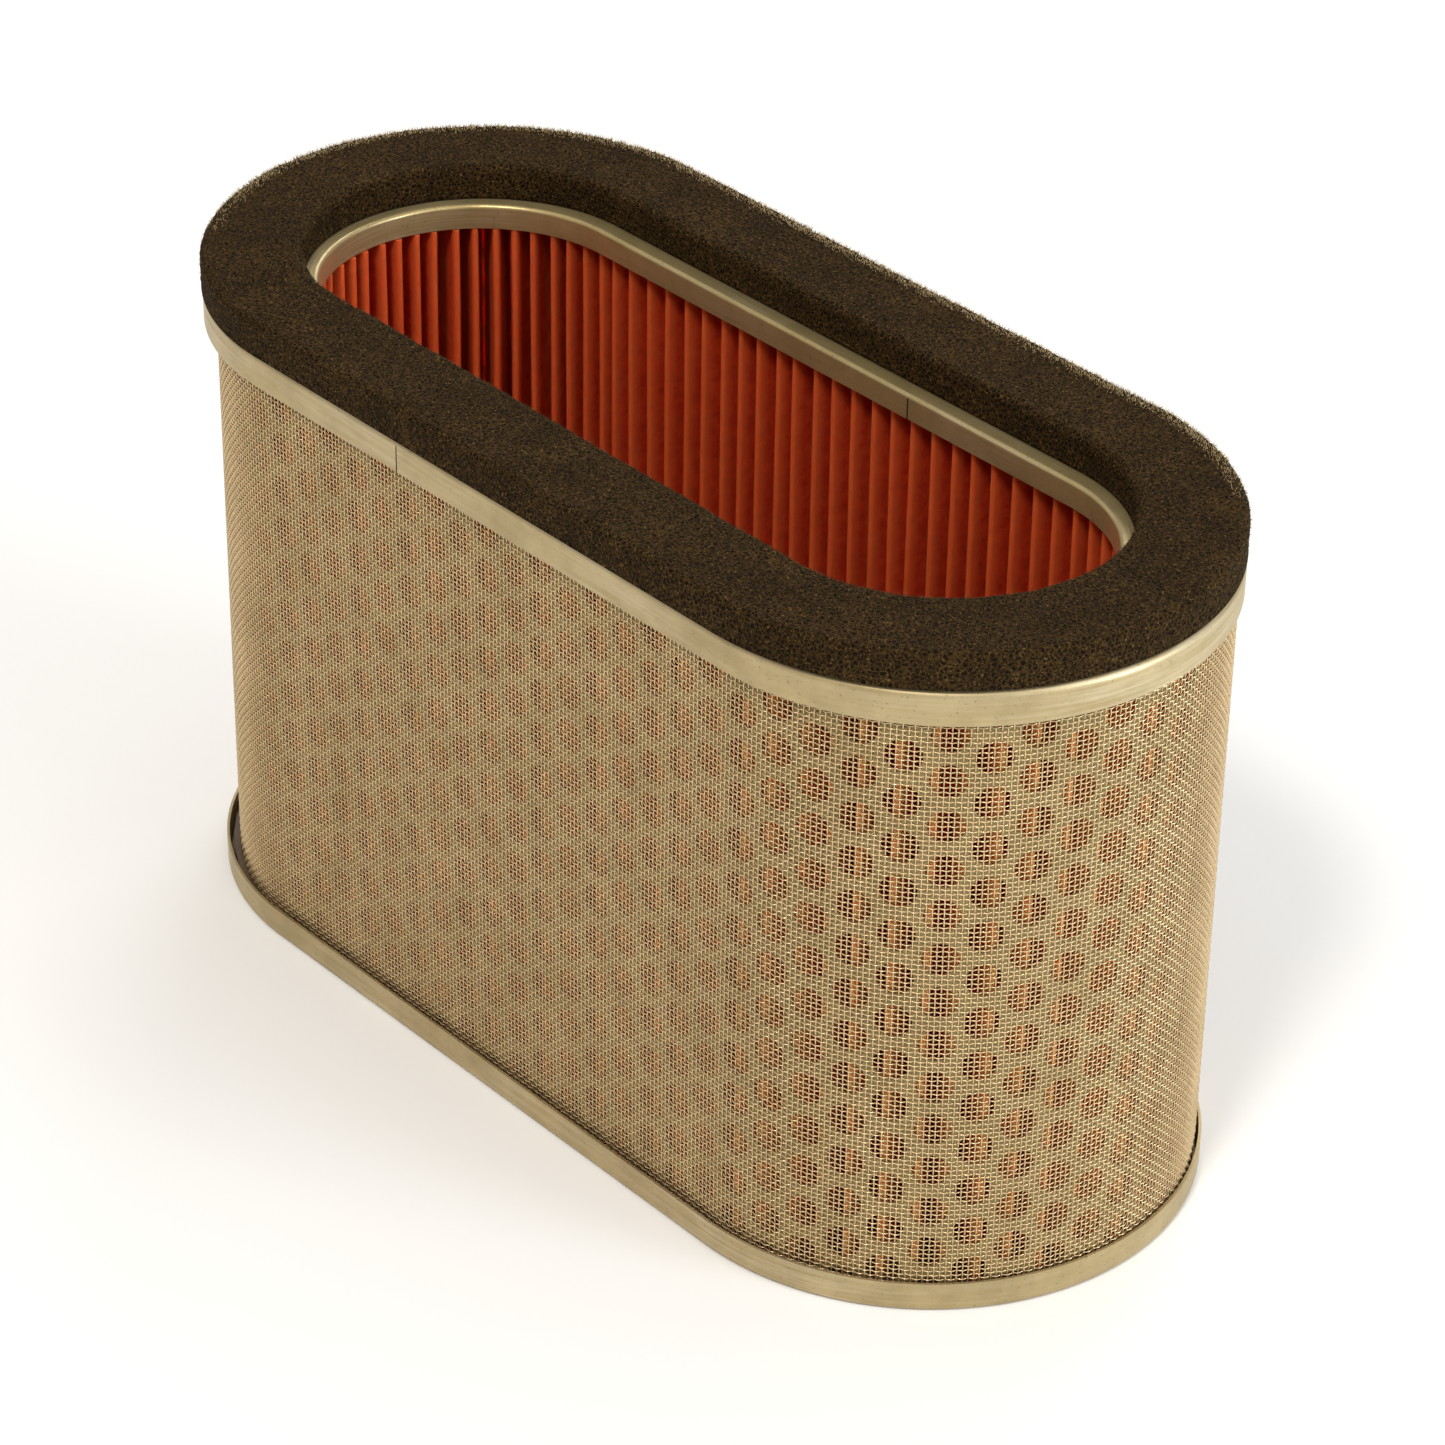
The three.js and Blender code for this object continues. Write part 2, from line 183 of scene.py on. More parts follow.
def make_piece(name, points, face_groups, material, stands_for, crease=40):
    """A mesh object from an array of points and arrays of faces, each with one number of sides."""
    mesh = bpy.data.meshes.new(name)
    points = np.asarray(points, np.float32).reshape(-1, 3)
    mesh.vertices.add(len(points))
    mesh.vertices.foreach_set("co", points.ravel())
    corners = np.concatenate([np.ravel(group) for group in face_groups]).astype(np.int32)
    sizes = np.concatenate([np.full(len(group), np.shape(group)[1]) for group in face_groups])
    starts = (np.cumsum(sizes) - sizes).astype(np.int32)
    mesh.loops.add(len(corners))
    mesh.loops.foreach_set("vertex_index", corners)
    mesh.polygons.add(len(sizes))
    mesh.polygons.foreach_set("loop_start", starts)
    mesh.update(calc_edges=True)
    mesh.validate()
    mesh.shade_smooth()
    if crease:
        mesh.set_sharp_from_angle(angle=math.radians(crease))
    mesh.materials.append(material)
    piece = bpy.data.objects.new(name, mesh)
    bpy.context.scene.collection.objects.link(piece)
    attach(piece, "root")
    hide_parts(stands_for)
    return piece


def write_attribute(piece, name, values):
    """A number or a vector on every point, for the material to read."""
    kind = "FLOAT" if np.ndim(values) == 1 else "FLOAT_VECTOR"
    field = "value" if kind == "FLOAT" else "vector"
    attribute = piece.data.attributes.new(name, kind, "POINT")
    attribute.data.foreach_set(field, np.asarray(values, np.float32).ravel())


def quarter(radius, height, size, start, stop, steps=6):
    """Points of a quarter circle in a section. The angles are in degrees."""
    angle = np.radians(np.linspace(start, stop, steps + 1))
    return list(zip(radius + size * np.cos(angle), height + size * np.sin(angle)))


def sweep(name, track, places, section, leg, material, stands_for):
    """A strip of metal: a section of (radius, height) points, anticlockwise, along the track.
    Its two ends stand apart only between the two heights of its leg, and touch beyond them."""
    section = np.array(section)
    rows, columns = len(places), len(section)
    apart = (section[:, 1] >= leg[0]) & (section[:, 1] <= leg[1])
    closing = np.zeros((rows, columns))
    closing[[0, -1]] = np.outer([-1, 1], np.where(apart, 0, SEAM_OPENING / 2))
    points = track.place(places[:, None] + closing, section[:, 0], section[:, 1])
    first = np.arange(columns)[None]
    last = first[:, ::-1] + (rows - 1) * columns
    faces = grid_faces(rows, columns, wrap_columns=True)
    piece = make_piece(name, points, [faces, first, last], material, stands_for)
    round_section = np.cumsum(np.hypot(*np.diff(section, axis=0, prepend=section[:1]).T))
    strip = np.broadcast_arrays(places[:, None], round_section[None, :], 0.0)
    write_attribute(piece, "strip", np.stack(strip, -1).reshape(-1, 3))
    # The two end rows of the leg are marked for painted shade, which stands for the dark gap of the
    # seam.
    seam_shade = np.zeros((rows, columns))
    seam_shade[[0, -1]] = apart
    write_attribute(piece, "seam_shade", seam_shade.ravel())


# ---- material nodes -------------------------------------------------------------------------------


class Finish:
    """A material with a few short ways to add nodes to it."""

    def __init__(self, name, **sockets):
        self.material = bpy.data.materials.new(name)
        self.material.use_nodes = True
        self.tree = self.material.node_tree
        self.shader = self.tree.nodes["Principled BSDF"]
        for socket, value in sockets.items():
            self.shader.inputs[socket.replace("_", " ")].default_value = value

    def node(self, kind, **settings):
        """A new node with some of its settings changed."""
        node = self.tree.nodes.new(kind)
        for key, value in settings.items():
            setattr(node, key, value)
        return node

    def feed(self, node, socket, value):
        """Links another node's output to a socket, or sets the socket to a constant."""
        if isinstance(value, bpy.types.NodeSocket):
            self.tree.links.new(value, node.inputs[socket])
        else:
            node.inputs[socket].default_value = value

    def place(self, stretch=(1, 1, 1), attribute=None):
        """Object coordinates, or an attribute of the mesh, stretched."""
        if attribute:
            source = self.node("ShaderNodeAttribute", attribute_name=attribute).outputs["Vector"]
        else:
            source = self.node("ShaderNodeTexCoord").outputs["Object"]
        mapping = self.node("ShaderNodeMapping")
        self.feed(mapping, "Vector", source)
        self.feed(mapping, "Scale", stretch)
        return mapping.outputs["Vector"]

    def value(self, attribute):
        """A number that the mesh has on every point."""
        return self.node("ShaderNodeAttribute", attribute_name=attribute).outputs["Fac"]

    def noise(self, place, size, detail=2.0, roughness=0.5, distortion=0.0):
        """Noise from 0 to 1 whose blotches are about the given size."""
        noise = self.node("ShaderNodeTexNoise")
        self.feed(noise, "Vector", place)
        self.feed(noise, "Scale", 1 / size)
        self.feed(noise, "Detail", detail)
        self.feed(noise, "Roughness", roughness)
        self.feed(noise, "Distortion", distortion)
        return noise.outputs["Fac"]

    def cells(self, place, size):
        """Distance from the walls of a froth of cells of about the given size."""
        cells = self.node("ShaderNodeTexVoronoi", feature="DISTANCE_TO_EDGE")
        self.feed(cells, "Vector", place)
        self.feed(cells, "Scale", 1 / size)
        return cells.outputs["Distance"]

    def ramp(self, factor, *stops):
        """Blends between (position, colour or number) stops."""
        ramp = self.node("ShaderNodeValToRGB")
        while len(ramp.color_ramp.elements) < len(stops):
            ramp.color_ramp.elements.new(0.5)
        for element, (position, colour) in zip(ramp.color_ramp.elements, stops):
            element.position = position
            shade = (colour,) * 3 if isinstance(colour, (int, float)) else colour
            element.color = (*shade, 1)
        self.feed(ramp, "Fac", factor)
        return ramp.outputs["Color"]

    def mix(self, factor, first, second, blend="MIX"):
        """The first colour at factor 0 and the second, blended in, at factor 1."""
        mix = self.node("ShaderNodeMix", data_type="RGBA", blend_type=blend)
        self.feed(mix, "Factor", factor)
        for socket, colour in ((mix.inputs[6], first), (mix.inputs[7], second)):
            if isinstance(colour, bpy.types.NodeSocket):
                self.tree.links.new(colour, socket)
            else:
                socket.default_value = (*colour, 1)
        return mix.outputs[2]

    def bump(self, height, depth, strength=1.0, below=None):
        """Fine relief of the given depth, on top of any other relief."""
        bump = self.node("ShaderNodeBump")
        self.feed(bump, "Height", height)
        self.feed(bump, "Distance", depth)
        self.feed(bump, "Strength", strength)
        if below is not None:
            self.feed(bump, "Normal", below)
        return bump.outputs["Normal"]

    def finish(self, colour=None, roughness=None, normal=None):
        """The material itself, once its shader has been fed."""
        for socket, value in (("Base Color", colour), ("Roughness", roughness), ("Normal", normal)):
            if value is not None:
                self.feed(self.shader, socket, value)
        return self.material


def cap_steel(name, light, dark, metallic=0.82, gloss=0.0, stretch=(1, 1, 1), attribute=None):
    """Plated sheet: cloudy satin plating with fine drawing lines, dull specks, pale rubbed streaks
    and painted shade along the edges of its seams. The gloss is taken off its roughness."""
    look = Finish(name, Metallic=metallic)
    cloud = look.noise(look.place(), 9 * MM, detail=4, roughness=0.6)
    colour = look.ramp(cloud, (0.3, dark), (0.7, light))
    specks = look.noise(look.place(), 0.5 * MM, detail=1)
    colour = look.mix(look.ramp(specks, (0.66, 0.0), (0.74, 0.55)), colour, (0.16, 0.12, 0.07))
    # Near-black painted shade along the edges of each seam, where the gap between the band's ends is
    # dark.
    colour = look.mix(look.value("seam_shade"), colour, (0.03, 0.02, 0.012))
    lines = look.noise(look.place(stretch, attribute), 0.35 * MM, detail=3, roughness=0.65)
    streaks = look.noise(look.place(stretch, attribute), 1.1 * MM, detail=4, roughness=0.7)
    rubbed = look.noise(look.place(), 50 * MM, detail=1)
    pale = look.mix(1.0, look.ramp(streaks, (0.42, 0.0), (0.68, 1.0)),
                    look.ramp(rubbed, (0.4, 0.1), (0.6, 0.45)), "MULTIPLY")
    colour = look.mix(pale, colour, (0.72, 0.63, 0.47))
    roughness = look.ramp(lines, (0.25, 0.38 - gloss), (0.75, 0.58 - gloss))
    normal = look.bump(lines, 0.02 * MM, 0.35)
    normal = look.bump(cloud, 0.35 * MM, 0.5, below=normal)
    return look.finish(colour, roughness, normal)


def wire_steel():
    """Drawn wire: bright and satin, a little dirtier in cloudy patches."""
    look = Finish("wire_steel", Metallic=0.75)
    cloud = look.noise(look.place(), 12 * MM, detail=4, roughness=0.6)
    grain = look.noise(look.place(), 0.4 * MM, detail=1)
    colour = look.ramp(cloud, (0.3, (0.60, 0.445, 0.24)), (0.7, (0.73, 0.55, 0.315)))
    roughness = look.ramp(grain, (0.3, 0.22), (0.7, 0.40))
    return look.finish(colour, roughness)


def shell_steel():
    """Perforated sheet: dull plating, with small stains."""
    look = Finish("shell_steel", Metallic=0.35)
    cloud = look.noise(look.place(), 7 * MM, detail=5, roughness=0.65)
    colour = look.ramp(cloud, (0.3, (0.32, 0.25, 0.105)), (0.7, (0.45, 0.355, 0.16)))
    grain = look.noise(look.place(), 0.3 * MM, detail=2)
    roughness = look.ramp(grain, (0.3, 0.42), (0.7, 0.62))
    return look.finish(colour, roughness, look.bump(grain, 0.02 * MM, 0.4))


def red_paper():
    """Dyed, oiled filter paper: mottled red, faintly rippled, with painted highlights along its
    folds, and a paler, dusty orange towards the outside, where the air comes in; this paleness is
    also painted fill light in the deep valleys between the pleats. It lets some light through."""
    look = Finish("red_paper", Roughness=0.7, Specular_IOR_Level=0.15)
    look.feed(look.shader, "Subsurface Weight", 1.0)
    look.feed(look.shader, "Subsurface Radius", (1.0, 0.15, 0.08))
    look.feed(look.shader, "Subsurface Scale", 2.0 * MM)
    place = look.place()
    blotches = look.noise(place, 2.2 * MM, detail=4, roughness=0.6)
    colour = look.ramp(blotches, (0.3, (0.38, 0.018, 0.005)), (0.7, (0.60, 0.048, 0.009)))
    fibres = look.noise(look.place((1, 1, 0.5)), 0.35 * MM, detail=3, roughness=0.7)
    colour = look.mix(look.ramp(fibres, (0.35, 0.0), (0.75, 0.5)), colour, (0.58, 0.066, 0.013))
    # Painted highlight along the crowns of the folds.
    painted_fold_highlight = look.ramp(look.value("fold"), (0.4, 0.0), (1.0, 0.6))
    colour = look.mix(painted_fold_highlight, colour, (0.66, 0.14, 0.033))
    # Paler towards the outside: partly dust where the air comes in, partly painted fill light in the
    # deep valleys between the pleats.
    dust_and_painted_fill = look.ramp(blotches, (0.3, (0.72, 0.24, 0.06)), (0.7, (0.90, 0.36, 0.11)))
    colour = look.mix(look.ramp(look.value("outside"), (0.2, 0.0), (0.85, 1.0)), colour, dust_and_painted_fill)
    ripples = look.noise(look.place((0.5, 0.5, 1.2)), 2.4 * MM, detail=2, distortion=0.8)
    normal = look.bump(ripples, 0.3 * MM, 0.5)
    normal = look.bump(fibres, 0.08 * MM, 0.6, below=normal)
    return look.finish(colour, normal=normal)


def open_foam(name, pore, strut, painted_glint):
    """Open-cell foam: dark pores between paler struts, with painted glints on some of them."""
    look = Finish(name, Specular_IOR_Level=0.08, Roughness=0.9)
    place = look.place()
    wall = look.cells(place, 0.85 * MM)
    colour = look.ramp(wall, (0.03, strut), (0.25, pore))
    patches = look.noise(place, 9 * MM, detail=4)
    colour = look.mix(look.ramp(patches, (0.35, 0.0), (0.7, 0.5)), colour, pore)
    speckle = look.noise(place, 0.5 * MM, detail=2, roughness=0.8)
    colour = look.mix(look.ramp(speckle, (0.36, 0.85), (0.5, 0.0)), colour, pore)
    # Painted glints: pale speckles that stand for struts catching the light.
    colour = look.mix(look.ramp(speckle, (0.60, 0.0), (0.72, 0.7)), colour, painted_glint)
    normal = look.bump(wall, 0.5 * MM)
    return look.finish(colour, normal=normal)


def painted_backlight_nap():
    """Fine foam struts, brown where they stand and pale at their tips, where backlight is painted."""
    look = Finish("painted_backlight_nap", Specular_IOR_Level=0.1, Roughness=0.8)
    speckle = look.noise(look.place(), 0.5 * MM, detail=2)
    root = look.ramp(speckle, (0.3, (0.09, 0.06, 0.022)), (0.7, (0.20, 0.135, 0.055)))
    # Pale tips: painted backlight on the foam's outline.
    tip = look.ramp(speckle, (0.3, (0.52, 0.38, 0.18)), (0.7, (0.86, 0.68, 0.40)))
    return look.finish(look.mix(look.ramp(look.value("tip"), (0.2, 0.0), (1.0, 1.0)), root, tip))


def compound(name, light, dark):
    """Cured potting compound: cloudy and satin, with a slightly uneven skin."""
    look = Finish(name, Coat_Weight=0.15)
    cloud = look.noise(look.place(), 5 * MM, detail=4)
    colour = look.ramp(cloud, (0.3, dark), (0.7, light))
    roughness = look.ramp(cloud, (0.3, 0.35), (0.7, 0.55))
    return look.finish(colour, roughness, look.bump(cloud, 0.4 * MM, 0.5))


def pale_floor():
    """A plain matt floor."""
    look = Finish("pale_floor", Roughness=0.9, Specular_IOR_Level=0.1)
    cloud = look.noise(look.place(), 0.4, detail=2)
    return look.finish(look.ramp(cloud, (0.3, 0.86), (0.7, 0.9)))


# ---- caps -----------------------------------------------------------------------------------------


def top_outer_band(material):
    """The skirt: an upright leg under a flange that is turned inwards."""
    track = Track("top_outer_band")
    bend_radius, bend_height = track.outside - TOP_BEND, track.top - TOP_BEND
    flange_end = track.outside - TOP_OUTER_FLANGE
    section = [
        (track.outside - SHEET, track.bottom),
        (track.outside, track.bottom),
        *quarter(bend_radius, bend_height, TOP_BEND, 0, 90),
        (flange_end, track.top),
        (flange_end, track.top - SHEET),
        *quarter(bend_radius, bend_height, TOP_BEND - SHEET, 90, 0),
    ]
    places = track.lipped_span(track.front(OUTER_SEAM_X), SEAM_OPENING, BAND_STEP)
    leg = track.bottom, bend_height
    sweep("skirt_band", track, places, section, leg, material, "top_outer_band")


def collar(material):
    """The collar of the air passage: an upright leg under a flange that is turned outwards."""
    track = Track("top_inner_band")
    inside = track.outside - TOP_INNER_FLANGE
    bend_radius, bend_height = inside + COLLAR_BEND, track.top - COLLAR_BEND
    section = [
        (inside, track.bottom),
        (inside + SHEET, track.bottom),
        *quarter(bend_radius, bend_height, COLLAR_BEND - SHEET, 180, 90),
        (track.outside, track.top - SHEET),
        (track.outside, track.top),
        *quarter(bend_radius, bend_height, COLLAR_BEND, 90, 180),
    ]
    places = track.lipped_span(track.rear(COLLAR_SEAM_X), SEAM_OPENING, COLLAR_STEP)
    leg = track.bottom, bend_height
    sweep("collar_band", track, places, section, leg, material, "top_inner_band")


def bottom_band(material):
    """The rim: an upright leg over a flange that is turned in under the plate's edge."""
    track = Track("bottom_band")
    bend_radius, bend_height = track.outside - BASE_BEND, track.bottom + BASE_BEND
    flange_end = track.outside - BASE_FLANGE
    section = [
        (flange_end, track.bottom),
        *quarter(bend_radius, bend_height, BASE_BEND, -90, 0),
        (track.outside, track.top),
        (track.outside - SHEET, track.top),
        *quarter(bend_radius, bend_height, BASE_BEND - SHEET, 0, -90),
        (flange_end, track.bottom + SHEET),
    ]
    places = track.lipped_span(track.rear(BASE_SEAM_X), SEAM_OPENING, BAND_STEP)
    leg = bend_height, track.top
    sweep("rim_band", track, places, section, leg, material, "bottom_band")


# ---- wire screen ----------------------------------------------------------------------------------


def wire_points(place, s, radius, z, travels_up):
    """Points round every wire: an array of wires, crossings, four corners."""
    r = WIRE / 2
    if travels_up:
        corners = [(r, 0, 0), (0, r, 0), (-r, 0, 0), (0, -r, 0)]
    else:
        corners = [(0, r, 0), (0, 0, r), (0, -r, 0), (0, 0, -r)]
    return np.stack([place(s + ds, radius + dr, z + dz) for ds, dr, dz in corners], 2)


def wire_faces(wires, rings):
    """Faces of many four-sided wires with closed ends."""
    one = grid_faces(rings, 4, wrap_columns=True)
    first = np.arange(4)[None]
    last = first[:, ::-1] + (rings - 1) * 4
    step = (np.arange(wires) * rings * 4)[:, None, None]
    return (np.concatenate([one, first, last])[None] + step).reshape(-1, 4)


def with_middles(values):
    """The values at each wire's crossings, with the ones halfway between them put in."""
    rings = np.repeat(values, 2, axis=1)[:, :-1]
    rings[:, 1::2] = (values[:, :-1] + values[:, 1:]) / 2
    return rings


def crossings(upright, level):
    """Where the wires cross: places, heights and how far out, with the faults of real cloth. The
    wires lean and sag in slow waves and aren't quite evenly spaced, and the cloth swells a little."""
    random = np.random.default_rng(11)
    s, z = np.meshgrid(upright, level, indexing="ij")
    sideways = random.normal(0, 0.03 * MM, len(upright))[:, None]
    lean = 0.10 * MM * np.sin(z / (19 * MM) + 3 * np.sin(s / (41 * MM)))
    sag = 0.10 * MM * np.sin(s / (23 * MM) + 2 * np.sin(z / (31 * MM)))
    uneven = random.normal(0, 0.025 * MM, len(level))[None, :]
    along = np.sin(s / (2.6 * MM) + 2 * np.sin(s / (17 * MM)))
    swell = 0.05 * MM * along * np.sin(z / (37 * MM) + 1)
    return s + sideways + lean, z + sag + uneven, swell


def split_by_side(track, upright, warp):
    """The upright wires in eight groups, cut at the middles and the ends of the straight sides."""
    sides = ("rear_left", "left_rear", "left_front", "front_left",
             "front_right", "right_front", "right_rear", "rear_right")
    rear, left, front, right, next_rear = track.length / 4 * np.arange(2, 7)
    cuts = [rear + track.half, left, front - track.half, front,
            front + track.half, right, next_rear - track.half]
    return zip(sides, np.split(warp, np.searchsorted(upright, cuts)))


def wire_screen(material):
    """Plain-woven cloth. Each wire goes over and under the ones that it crosses."""
    track = Track("wire_screen", inset=WIRE)
    upright = track.span(track.rear(DRUM_SEAM_X), SCREEN_GAP + WIRE, WARP_PITCH)
    level = np.arange(track.bottom + WIRE / 2, track.top - WIRE / 2, WEFT_PITCH)
    s, z, swell = crossings(upright, level)
    swing = np.add.outer(np.arange(len(upright)), np.arange(len(level))) % 2 * 2 - 1
    outwards = track.radius + swell + WARP_CRIMP * swing
    inwards = track.radius + swell - WEFT_CRIMP * swing
    warp = wire_points(track.place, *map(with_middles, (s, outwards, z)), travels_up=True)
    weft = wire_points(
        track.place, *map(with_middles, (s.T, inwards.T, z.T)), travels_up=False)
    pieces = {}
    for side, wires in split_by_side(track, upright, warp):
        pieces[f"screen_warp_{side}"] = wires
    for number, wires in enumerate(np.array_split(weft, WEFT_GROUPS), 1):
        pieces[f"screen_weft_{number}"] = wires
    for name, wires in pieces.items():
        make_piece(name, wires, [wire_faces(*wires.shape[:2])],
                   material, "wire_screen", crease=None)


# ---- perforated shell -----------------------------------------------------------------------------


def hole_cell():
    """One hole in its rectangle of sheet, as five-sided faces about its middle. The hole has two
    corners for each one that the edge of the rectangle has."""
    w, p = COLUMN_PITCH / 2, ROW_PITCH / 2
    edge = [(w, 0), (w, p / 2), (w, p), (w / 2, p), (0, p), (-w / 2, p), (-w, p), (-w, p / 2)]
    edge += [(-x, -z) for x, z in edge]
    n = len(edge)
    angle = np.arange(2 * n) * math.tau / (2 * n)
    ring = np.stack([np.cos(angle), np.sin(angle)], -1) * HOLE / 2
    return np.array([
        [edge[k], edge[(k + 1) % n], ring[(2 * k + 2) % (2 * n)], ring[2 * k + 1], ring[2 * k]]
        for k in range(n)])


def merged(corners):
    """Shared points of (faces, sides, 2) corners, and the faces that index them."""
    flat = np.round(corners.reshape(-1, 2) / SAME_POINT).astype(np.int64)
    _, first, index = np.unique(flat, axis=0, return_index=True, return_inverse=True)
    return corners.reshape(-1, 2)[first], index.reshape(corners.shape[:2])


def face_area(corners):
    """Areas of flat faces, for telling which ones the shell's edges have cut away."""
    ahead = np.roll(corners, -1, 1)
    return (corners[..., 0] * ahead[..., 1] - ahead[..., 0] * corners[..., 1]).sum(1) / 2


def open_edges(groups):
    """Edges that only one face has, in that face's direction."""
    edges = np.concatenate([
        np.stack([group, np.roll(group, -1, 1)], -1).reshape(-1, 2) for group in groups])
    keys = set(map(tuple, edges.tolist()))
    return np.array([edge for edge in edges.tolist() if (edge[1], edge[0]) not in keys])


def flat_shell(track):
    """Points and faces of the punched sheet laid out flat, from one side of its seam to the other:
    cells with a hole each, and plain margins at both ends."""
    start = track.rear(DRUM_SEAM_X) + SCREEN_GAP / 2
    stop = start + track.length - SCREEN_GAP
    first = math.ceil((start - HOLE_COLUMN + COLUMN_PITCH / 2) / COLUMN_PITCH)
    last = math.floor((stop - HOLE_COLUMN - COLUMN_PITCH / 2) / COLUMN_PITCH)
    centres = [
        (HOLE_COLUMN + COLUMN_PITCH * column, HOLE_ROW + ROW_PITCH * (row + column % 2 / 2))
        for column in range(first, last + 1) for row in range(-HOLES_BELOW, HOLES_ABOVE + 1)]
    cells = (np.array(centres)[:, None, None] + hole_cell()).reshape(-1, 5, 2)
    cells[..., 1] = np.clip(cells[..., 1], track.bottom, track.top)
    cells = cells[face_area(cells) > SLIVER]
    quarters = np.arange(-4 * HOLES_BELOW, 4 * (HOLES_ABOVE + 1))
    levels = HOLE_ROW + ROW_PITCH * quarters / 4
    levels = np.unique(np.clip(levels, track.bottom, track.top))
    left = HOLE_COLUMN + COLUMN_PITCH * (first - 0.5)
    right = HOLE_COLUMN + COLUMN_PITCH * (last + 0.5)
    margins = np.array([
        [(a, low), (b, low), (b, high), (a, high)]
        for a, b in ((start, left), (right, stop)) for low, high in zip(levels, levels[1:])])
    margins = np.concatenate([margins, margins[:, -1:]], 1)
    points, faces = merged(np.concatenate([cells, margins]))
    return points, faces[:len(cells)], faces[len(cells):, :4]


def perforated_shell(material):
    """The punched sheet wrapped round: an outer face, an inner one, and the walls of the holes and
    edges between them."""
    track = Track("perforated_shell", inset=SHELL_SHEET / 2)
    points, pentagons, quads = flat_shell(track)
    edges = open_edges([pentagons, quads])
    count = len(points)
    walls = np.stack([edges[:, 1], edges[:, 0], edges[:, 0] + count, edges[:, 1] + count], -1)
    layers = [track.place(points[:, 0], radius, points[:, 1])
              for radius in (track.outside, track.outside - SHELL_SHEET)]
    groups = [pentagons, quads, pentagons[:, ::-1] + count, quads[:, ::-1] + count, walls]
    make_piece("punched_shell", np.concatenate(layers), groups,
               material, "perforated_shell", crease=30)


# ---- pleated paper --------------------------------------------------------------------------------


class Pleats:
    """One long strip of paper folded to and fro, in plan, for a stack of heights. Places round the
    drum are numbers of pleats, anticlockwise from the left end of the front side."""

    def __init__(self, track, z, inner, outer):
        self.random = np.random.default_rng(5)
        self.track, self.z, self.inner, self.outer = track, z, inner, outer
        self.count = 2 * (PLEATS_PER_SIDE + PLEATS_PER_END)
        self.knots = np.cumsum(
            [0, PLEATS_PER_SIDE, PLEATS_PER_END, PLEATS_PER_SIDE, PLEATS_PER_END])
        self.path, self.fold = [], []

    def plan(self, pleat, radius, sideways):
        """Points by their place round the drum, a radius and a distance sideways from there."""
        centre, angle = self.track.centre_and_angle(np.mod(pleat, self.count), self.knots)
        return np.stack([centre + radius * np.cos(angle) - sideways * np.sin(angle),
                         radius * np.sin(angle) + sideways * np.cos(angle)], -1)

    def wander(self, size):
        """A sideways drift that changes with height."""
        phase = self.random.uniform(0, math.tau, 2)
        shape = np.sin(self.z / (30 * MM) + phase[0]) + 0.5 * np.sin(self.z / (11 * MM) + phase[1])
        return self.random.uniform(-size, size) + 0.35 * size * shape

    def crown(self, pleat, direction):
        """The turn at a fold, outwards for direction 1 and inwards for -1."""
        drift = self.wander(FOLD_DRIFT)
        if direction > 0:
            size, tip = OUTER_FOLD, self.outer - self.random.uniform(0, OUTER_SHORT)
        else:
            size, tip = INNER_FOLD, self.inner + self.random.uniform(0, INNER_SHORT)
        bend = np.radians(np.linspace(-90, 90, 5))[:, None]
        radius = tip - direction * size * (1 - np.cos(bend)) + 0 * self.z
        return self.plan(pleat, radius, size * np.sin(bend) + drift)

    def flank(self, begin, end):
        """The flat of a pleat between two folds, slightly bowed."""
        bow = self.wander(FLANK_BOW)[:, None]
        run = end - begin
        normal = np.stack([-run[:, 1], run[:, 0]], -1) / np.linalg.norm(run, axis=-1)[:, None]
        return [begin + run * t + normal * bow * math.sin(math.pi * t) for t in (0.2, 0.5, 0.8)]

    def tail(self, sideways, depths):
        """One of the two ends of the strip, which lie side by side in the clip."""
        return [self.plan(CLIP_PLEAT, self.inner + depth, sideways + 0 * self.z) for depth in depths]

    def add(self, points, painted_fold_highlight):
        """Lengthens the path. Points are marked 1 where the paper is folded and 0 elsewhere."""
        self.path.extend(points)
        self.fold.extend([painted_fold_highlight] * len(points))

    def strip(self):
        """The middle of the paper from one end to the other, and 1 wherever it is folded."""
        apart = PAPER * 0.9
        self.add(self.tail(apart, (0, CLIPPED_TAIL)), 0.0)
        for turn in range(2 * self.count - 1):
            crown = self.crown(CLIP_PLEAT + (turn + 1) / 2, 1 if turn % 2 == 0 else -1)
            self.add(self.flank(self.path[-1], crown[0]), 0.0)
            self.add(list(crown), 1.0)
        finish = self.tail(-apart, (CLIPPED_TAIL, 0))
        self.add(self.flank(self.path[-1], finish[0]), 0.0)
        self.add(finish, 0.0)
        return np.array(self.path).transpose(1, 0, 2), np.array(self.fold)


def thickened(path):
    """A closed outline round each of a stack of paths: along one face and back along the other."""
    ahead = np.gradient(path, axis=1)
    left = np.stack([-ahead[..., 1], ahead[..., 0]], -1)
    left *= PAPER / 2 / np.linalg.norm(left, axis=-1, keepdims=True)
    return np.concatenate([path + left, (path - left)[:, ::-1]], 1)


